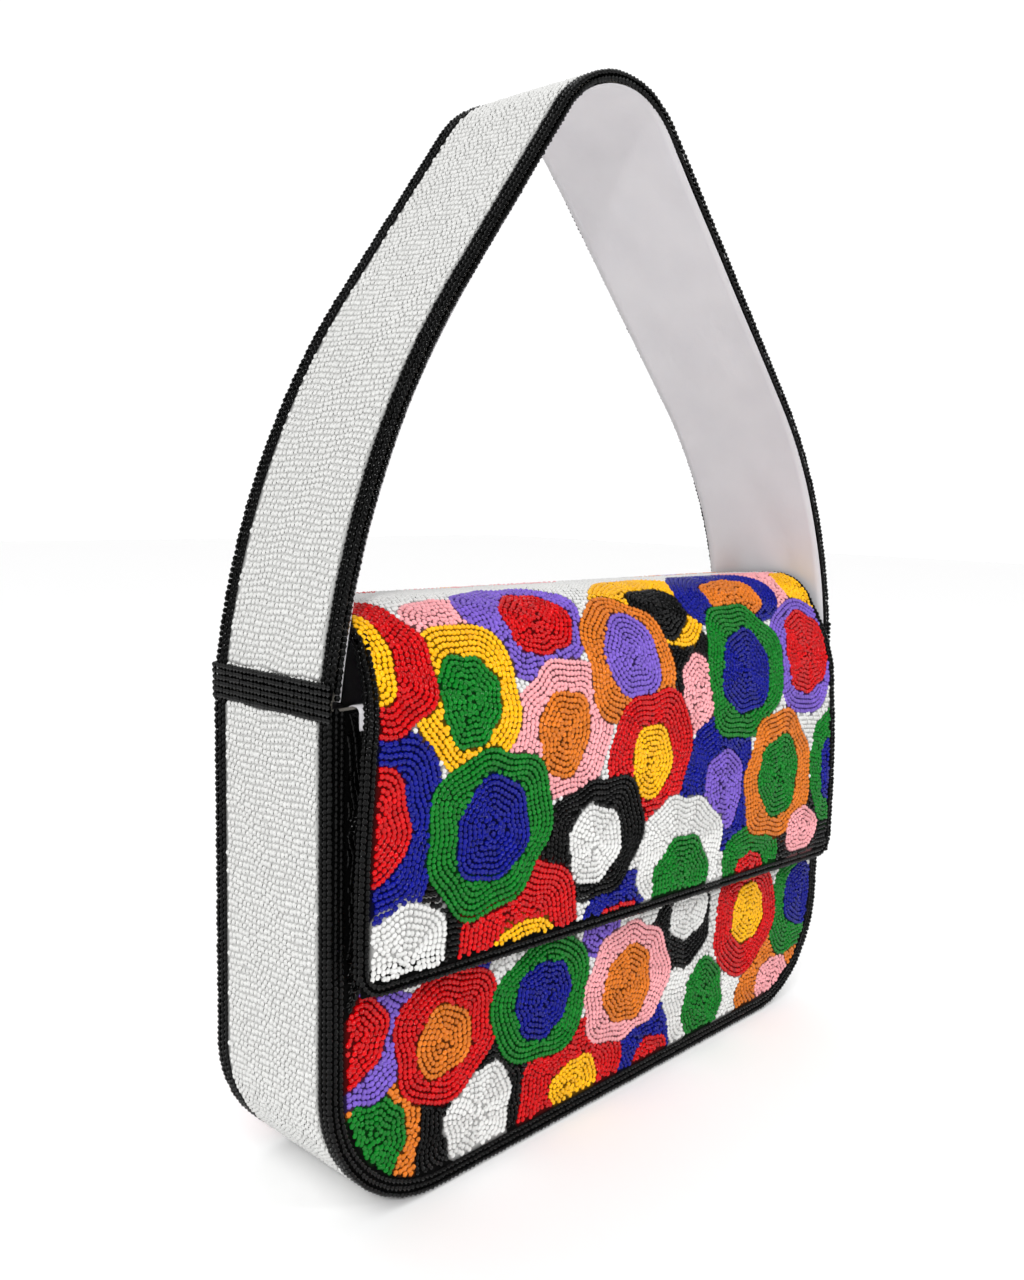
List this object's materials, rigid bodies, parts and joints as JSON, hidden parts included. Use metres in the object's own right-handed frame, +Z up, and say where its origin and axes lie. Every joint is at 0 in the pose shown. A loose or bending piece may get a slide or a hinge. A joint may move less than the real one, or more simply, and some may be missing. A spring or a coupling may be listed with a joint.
{
  "type": "beaded shoulder bag",
  "caption": "Small structured flap bag covered all over in seed beads, with a wide beaded shoulder strap and a magnetic snap under its front flap.",
  "frame": {"origin": "centre of the base, on the surface the bag stands on", "axes": "+X to the right seen from the front, +Y to the back of the bag, +Z up"},
  "size_m": [0.2612, 0.064, 0.3382],
  "materials": {
    "flower_beads": "glossy opaque seed beads in many colours",
    "white_beads": "glossy opaque seed beads",
    "black_beads": "glossy opaque seed beads",
    "stiffener": "matt board",
    "satin": "pale grey satin lining",
    "snap_metal": "polished nickel plate"
  },
  "bodies": {
    "body": {"back_bead_cloth": "flower_beads", "back_edge_beads": "black_beads", "back_lining": "satin", "back_stiffener": "stiffener", "base_board": "stiffener", "front_bead_cloth": "flower_beads", "front_edge_beads": "black_beads", "front_lining": "satin", "front_stiffener": "stiffener", "gusset_bead_cloth": "white_beads", "gusset_lining": "satin", "gusset_stiffener": "stiffener", "mouth_binding": "satin", "seam_bead_band_left": "black_beads", "seam_bead_band_right": "black_beads", "slip_pocket": "satin", "snap_socket": "snap_metal", "snap_socket_washer": "snap_metal"},
    "flap_crown": {"crown_bead_cloth": "flower_beads", "crown_stiffener": "stiffener", "crown_lining": "satin"},
    "flap_front": {"flap_bead_cloth": "flower_beads", "flap_edge_beads": "black_beads", "flap_stiffener": "stiffener", "flap_lining": "satin", "snap_stud": "snap_metal", "snap_stud_washer": "snap_metal"},
    "strap": {"strap_bead_cloth": "white_beads", "strap_stiffener": "stiffener", "strap_lining": "satin", "strap_edge_beads_front": "black_beads", "strap_edge_beads_back": "black_beads"}
  },
  "joints": [
    {"name": "flap_back_fold", "type": "hinge", "parent": "body", "child": "flap_crown", "pos_m": [0, 0.02842, 0.17562], "axis": [-1, 0, 0], "range_deg": [0, 175]},
    {"name": "flap_front_fold", "type": "hinge", "parent": "flap_crown", "child": "flap_front", "pos_m": [0, -0.02833, 0.16493], "axis": [-1, 0, 0], "range_deg": [0, 150]},
    {"name": "strap_swing", "type": "hinge", "parent": "body", "child": "strap", "pos_m": [0, 0, 0.1524], "axis": [1, 0, 0], "range_deg": [-60, 60], "deforming": ["strap_bead_cloth", "strap_stiffener", "strap_lining", "strap_edge_beads_front", "strap_edge_beads_back"]}
  ]
}
